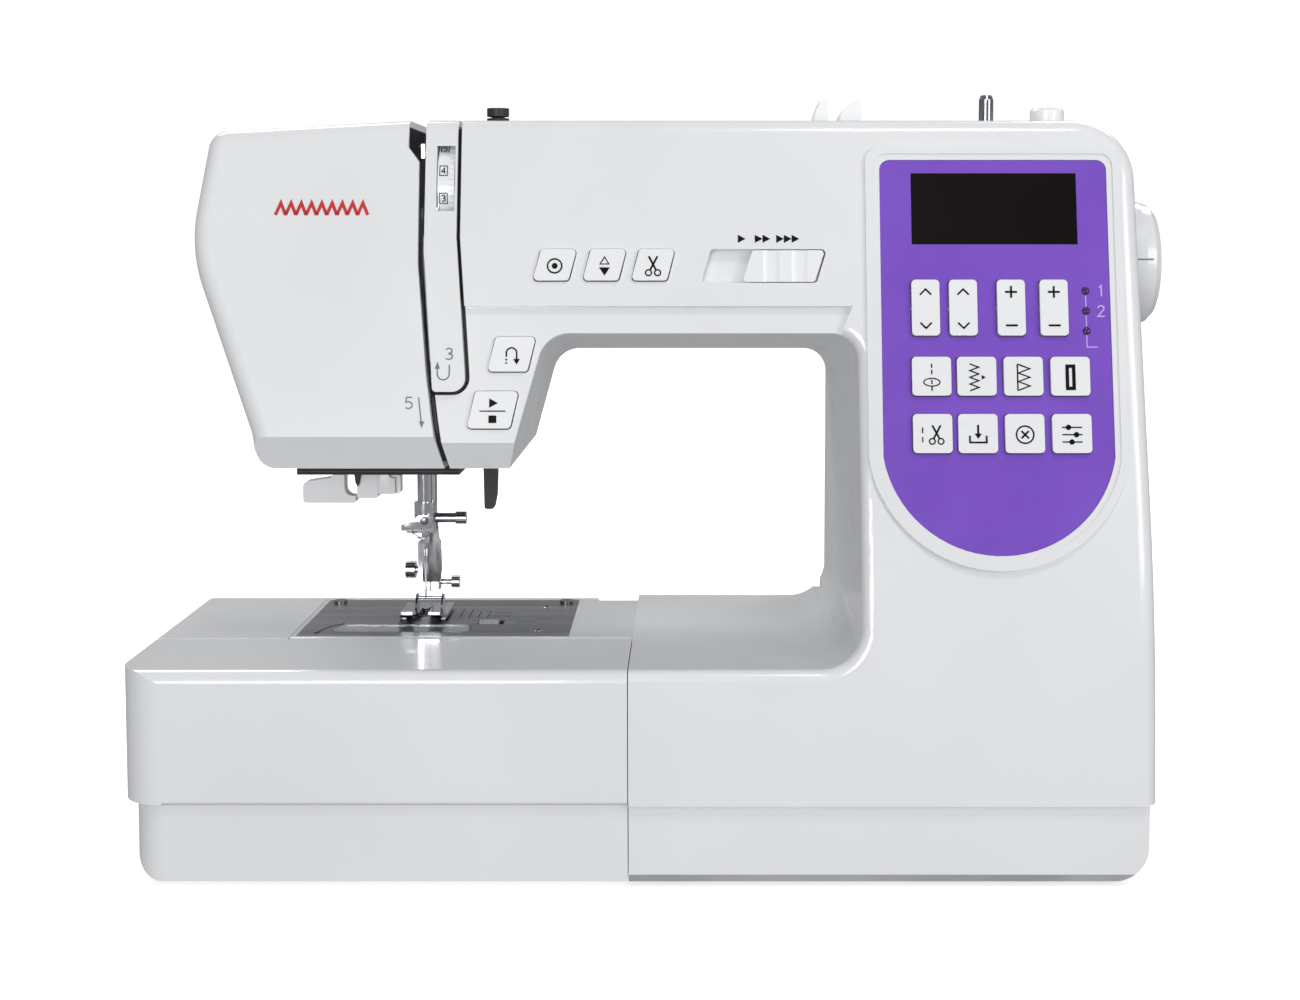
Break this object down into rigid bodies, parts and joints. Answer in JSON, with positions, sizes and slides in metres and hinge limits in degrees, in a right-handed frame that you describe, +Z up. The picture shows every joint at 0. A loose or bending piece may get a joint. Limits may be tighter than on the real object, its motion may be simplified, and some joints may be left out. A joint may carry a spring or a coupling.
{
  "type": "sewing machine",
  "caption": "Computerised domestic sewing machine with free arm, slide-off storage table, push-button front, half-round control panel and handwheel.",
  "frame": {"origin": "on the table surface under the middle of the machine's bounding box", "axes": "+X to the handwheel, -Y to the user, +Z up"},
  "size_m": [0.413, 0.1735, 0.307],
  "materials": {
    "white_plastic": "glossy moulded white",
    "arm_plastic": "glossy moulded white",
    "key_plastic": "glossy moulded white",
    "purple_panel": "purple, satin",
    "display_black": "gloss black window",
    "steel_plate": "fine brushed",
    "chrome": "polished",
    "dark_steel": "ground steel",
    "clear_plastic": "clear",
    "black_plastic": "satin black",
    "grey_plastic": "satin grey",
    "cast_metal": "die cast",
    "belt_rubber": "matt",
    "foot_rubber": "matt",
    "board_green": "solder mask"
  },
  "bodies": {
    "machine_body": {"front_cover": "white_plastic", "rear_cover": "white_plastic", "face_cover": "white_plastic", "thread_channel_cover": "white_plastic", "base_plate": "grey_plastic", "machine_frame": "cast_metal", "free_arm_cover": "arm_plastic", "needle_plate": "steel_plate", "bobbin_holder": "black_plastic", "head_underplate": "black_plastic", "timing_belt": "belt_rubber", "main_motor": "dark_steel", "circuit_boards": "board_green", "socket_panel": "grey_plastic", "rubber_feet": "foot_rubber", "top_fittings": "key_plastic", "winding_tension_disc": "chrome", "control_panel": "purple_panel", "display_window": "display_black"},
    "table": {"extension_table": "white_plastic"},
    "lid": {"storage_lid": "white_plastic"},
    "main_shaft": {"upper_shaft": "dark_steel", "handwheel": "white_plastic"},
    "lower_drive": {"lower_shaft": "dark_steel"},
    "hook": {"rotary_hook": "chrome"},
    "bobbin_spool": {"bobbin": "clear_plastic"},
    "needle_unit": {"needle_bar": "chrome", "needle": "chrome"},
    "take_up": {"take_up_lever": "chrome"},
    "presser": {"presser_bar": "chrome", "foot_holder": "chrome"},
    "foot": {"presser_foot": "chrome"},
    "lifter": {"presser_foot_lifter": "black_plastic"},
    "feed": {"feed_dogs": "dark_steel"},
    "hook_cover": {"hook_cover_plate": "clear_plastic"},
    "release": {"hook_cover_release": "grey_plastic"},
    "threader": {"needle_threader": "white_plastic"},
    "buttonhole": {"buttonhole_lever": "white_plastic"},
    "dial": {"tension_dial": "grey_plastic"},
    "speed": {"speed_slider": "key_plastic"},
    "start_stop_button_body": {"start_stop_button": "key_plastic"},
    "reverse_button_body": {"reverse_button": "key_plastic"},
    "auto_lock_button_body": {"auto_lock_button": "key_plastic"},
    "needle_up_down_button_body": {"needle_up_down_button": "key_plastic"},
    "thread_cutter_button_body": {"thread_cutter_button": "key_plastic"},
    "pattern_key_1_body": {"pattern_key_1": "key_plastic"},
    "pattern_key_2_body": {"pattern_key_2": "key_plastic"},
    "pattern_key_3_body": {"pattern_key_3": "key_plastic"},
    "pattern_key_4_body": {"pattern_key_4": "key_plastic"},
    "pattern_key_5_body": {"pattern_key_5": "key_plastic"},
    "pattern_key_6_body": {"pattern_key_6": "key_plastic"},
    "pattern_key_7_body": {"pattern_key_7": "key_plastic"},
    "pattern_key_8_body": {"pattern_key_8": "key_plastic"},
    "rocker_key_1_body": {"rocker_key_1": "key_plastic"},
    "rocker_key_2_body": {"rocker_key_2": "key_plastic"},
    "rocker_key_3_body": {"rocker_key_3": "key_plastic"},
    "rocker_key_4_body": {"rocker_key_4": "key_plastic"},
    "power_rocker": {"power_switch": "black_plastic"},
    "handle": {"carrying_handle": "arm_plastic"},
    "winder": {"winder_spindle": "chrome"}
  },
  "joints": [
    {"name": "table_slide", "type": "slide", "parent": "machine_body", "child": "table", "axis": [-1, 0, 0], "range_m": [0, 0.16]},
    {"name": "lid_hinge", "type": "hinge", "parent": "table", "child": "lid", "pos_m": [-0.109, -0.0856, 0.0338], "axis": [1, 0, 0], "range_deg": [0, 85]},
    {"name": "handwheel_turn", "type": "hinge", "parent": "machine_body", "child": "main_shaft", "pos_m": [0.06, 0.004, 0.237], "axis": [1, 0, 0], "continuous": true},
    {"name": "lower_shaft_turn", "type": "hinge", "parent": "machine_body", "child": "lower_drive", "pos_m": [0.02, 0.014, 0.04], "axis": [1, 0, 0], "continuous": true},
    {"name": "hook_turn", "type": "hinge", "parent": "machine_body", "child": "hook", "pos_m": [-0.103, -0.005, 0.062], "axis": [0, 0, 1], "continuous": true},
    {"name": "bobbin_turn", "type": "hinge", "parent": "machine_body", "child": "bobbin_spool", "pos_m": [-0.103, -0.005, 0.07], "axis": [0, 0, 1], "continuous": true},
    {"name": "needle_bar_slide", "type": "slide", "parent": "machine_body", "child": "needle_unit", "axis": [0, 0, 1], "range_m": [-0.028, 0]},
    {"name": "take_up_swing", "type": "hinge", "parent": "machine_body", "child": "take_up", "pos_m": [-0.0933, -0.008, 0.251], "axis": [1, 0, 0], "range_deg": [0, 40]},
    {"name": "presser_slide", "type": "slide", "parent": "machine_body", "child": "presser", "axis": [0, 0, 1], "range_m": [0, 0.006]},
    {"name": "foot_tilt", "type": "hinge", "parent": "presser", "child": "foot", "pos_m": [-0.103, 0.021, 0.0912], "axis": [1, 0, 0], "range_deg": [-3, 0]},
    {"name": "lifter_swing", "type": "hinge", "parent": "machine_body", "child": "lifter", "pos_m": [-0.0768, 0.035, 0.173], "axis": [0, -1, 0], "range_deg": [0, 32]},
    {"name": "feed_travel", "type": "slide", "parent": "machine_body", "child": "feed", "axis": [0, 1, 0], "range_m": [-0.0025, 0.0015]},
    {"name": "hook_cover_lift", "type": "slide", "parent": "machine_body", "child": "hook_cover", "axis": [0, 0, 1], "range_m": [0, 0.03]},
    {"name": "release_slide", "type": "slide", "parent": "machine_body", "child": "release", "axis": [1, 0, 0], "range_m": [0, 0.0018], "stiffness_N_per_m": 150},
    {"name": "threader_pull", "type": "slide", "parent": "machine_body", "child": "threader", "axis": [0, 0, -1], "range_m": [0, 0.025], "stiffness_N_per_m": 40, "springref_m": -0.02},
    {"name": "buttonhole_lever_pull", "type": "slide", "parent": "machine_body", "child": "buttonhole", "axis": [0, 0, -1], "range_m": [0, 0.03]},
    {"name": "tension_dial_turn", "type": "hinge", "parent": "machine_body", "child": "dial", "pos_m": [-0.0839, -0.03039, 0.26649], "axis": [1, 0, 0], "range_deg": [-60, 60]},
    {"name": "speed_slide", "type": "slide", "parent": "machine_body", "child": "speed", "axis": [-1, 0, 0], "range_m": [0, 0.0135]},
    {"name": "start_stop_button_press", "type": "slide", "parent": "machine_body", "child": "start_stop_button_body", "axis": [0, 0.9778, -0.2096], "range_m": [0, 0.001], "stiffness_N_per_m": 300},
    {"name": "reverse_button_press", "type": "slide", "parent": "machine_body", "child": "reverse_button_body", "axis": [0, 0.9778, -0.2096], "range_m": [0, 0.001], "stiffness_N_per_m": 300},
    {"name": "auto_lock_button_press", "type": "slide", "parent": "machine_body", "child": "auto_lock_button_body", "axis": [0, 0.9778, -0.2096], "range_m": [0, 0.001], "stiffness_N_per_m": 300},
    {"name": "needle_up_down_button_press", "type": "slide", "parent": "machine_body", "child": "needle_up_down_button_body", "axis": [0, 0.9778, -0.2096], "range_m": [0, 0.001], "stiffness_N_per_m": 300},
    {"name": "thread_cutter_button_press", "type": "slide", "parent": "machine_body", "child": "thread_cutter_button_body", "axis": [0, 0.9778, -0.2096], "range_m": [0, 0.001], "stiffness_N_per_m": 300},
    {"name": "pattern_key_1_press", "type": "slide", "parent": "machine_body", "child": "pattern_key_1_body", "axis": [0, 0.9778, -0.2096], "range_m": [0, 0.0008], "stiffness_N_per_m": 300},
    {"name": "pattern_key_2_press", "type": "slide", "parent": "machine_body", "child": "pattern_key_2_body", "axis": [0, 0.9778, -0.2096], "range_m": [0, 0.0008], "stiffness_N_per_m": 300},
    {"name": "pattern_key_3_press", "type": "slide", "parent": "machine_body", "child": "pattern_key_3_body", "axis": [0, 0.9778, -0.2096], "range_m": [0, 0.0008], "stiffness_N_per_m": 300},
    {"name": "pattern_key_4_press", "type": "slide", "parent": "machine_body", "child": "pattern_key_4_body", "axis": [0, 0.9778, -0.2096], "range_m": [0, 0.0008], "stiffness_N_per_m": 300},
    {"name": "pattern_key_5_press", "type": "slide", "parent": "machine_body", "child": "pattern_key_5_body", "axis": [0, 0.9778, -0.2096], "range_m": [0, 0.0008], "stiffness_N_per_m": 300},
    {"name": "pattern_key_6_press", "type": "slide", "parent": "machine_body", "child": "pattern_key_6_body", "axis": [0, 0.9778, -0.2096], "range_m": [0, 0.0008], "stiffness_N_per_m": 300},
    {"name": "pattern_key_7_press", "type": "slide", "parent": "machine_body", "child": "pattern_key_7_body", "axis": [0, 0.9778, -0.2096], "range_m": [0, 0.0008], "stiffness_N_per_m": 300},
    {"name": "pattern_key_8_press", "type": "slide", "parent": "machine_body", "child": "pattern_key_8_body", "axis": [0, 0.9778, -0.2096], "range_m": [0, 0.0008], "stiffness_N_per_m": 300},
    {"name": "rocker_key_1_tilt", "type": "hinge", "parent": "machine_body", "child": "rocker_key_1_body", "pos_m": [0.1024, -0.06085, 0.22031], "axis": [1, 0, 0], "range_deg": [-2.5, 2.5], "stiffness_Nm_per_rad": 0.5},
    {"name": "rocker_key_2_tilt", "type": "hinge", "parent": "machine_body", "child": "rocker_key_2_body", "pos_m": [0.1169, -0.06085, 0.22031], "axis": [1, 0, 0], "range_deg": [-2.5, 2.5], "stiffness_Nm_per_rad": 0.5},
    {"name": "rocker_key_3_tilt", "type": "hinge", "parent": "machine_body", "child": "rocker_key_3_body", "pos_m": [0.1354, -0.06085, 0.22031], "axis": [1, 0, 0], "range_deg": [-2.5, 2.5], "stiffness_Nm_per_rad": 0.5},
    {"name": "rocker_key_4_tilt", "type": "hinge", "parent": "machine_body", "child": "rocker_key_4_body", "pos_m": [0.1519, -0.06085, 0.22031], "axis": [1, 0, 0], "range_deg": [-2.5, 2.5], "stiffness_Nm_per_rad": 0.5},
    {"name": "power_switch_rock", "type": "hinge", "parent": "machine_body", "child": "power_rocker", "pos_m": [0.1854, -0.022, 0.042], "axis": [0, 1, 0], "range_deg": [0, 8]},
    {"name": "handle_raise", "type": "hinge", "parent": "machine_body", "child": "handle", "pos_m": [0.005, 0.028, 0.287], "axis": [1, 0, 0], "range_deg": [0, 90]},
    {"name": "winder_spin", "type": "hinge", "parent": "machine_body", "child": "winder", "pos_m": [0.1352, 0, 0.29], "axis": [0, 0, 1], "continuous": true}
  ],
  "couplings": [
    {"joint": "lower_shaft_turn", "follows": "handwheel_turn", "ratio": 1},
    {"joint": "hook_turn", "follows": "handwheel_turn", "ratio": 2},
    {"joint": "lifter_swing", "follows": "presser_slide", "rad_per_m": 93.074}
  ]
}
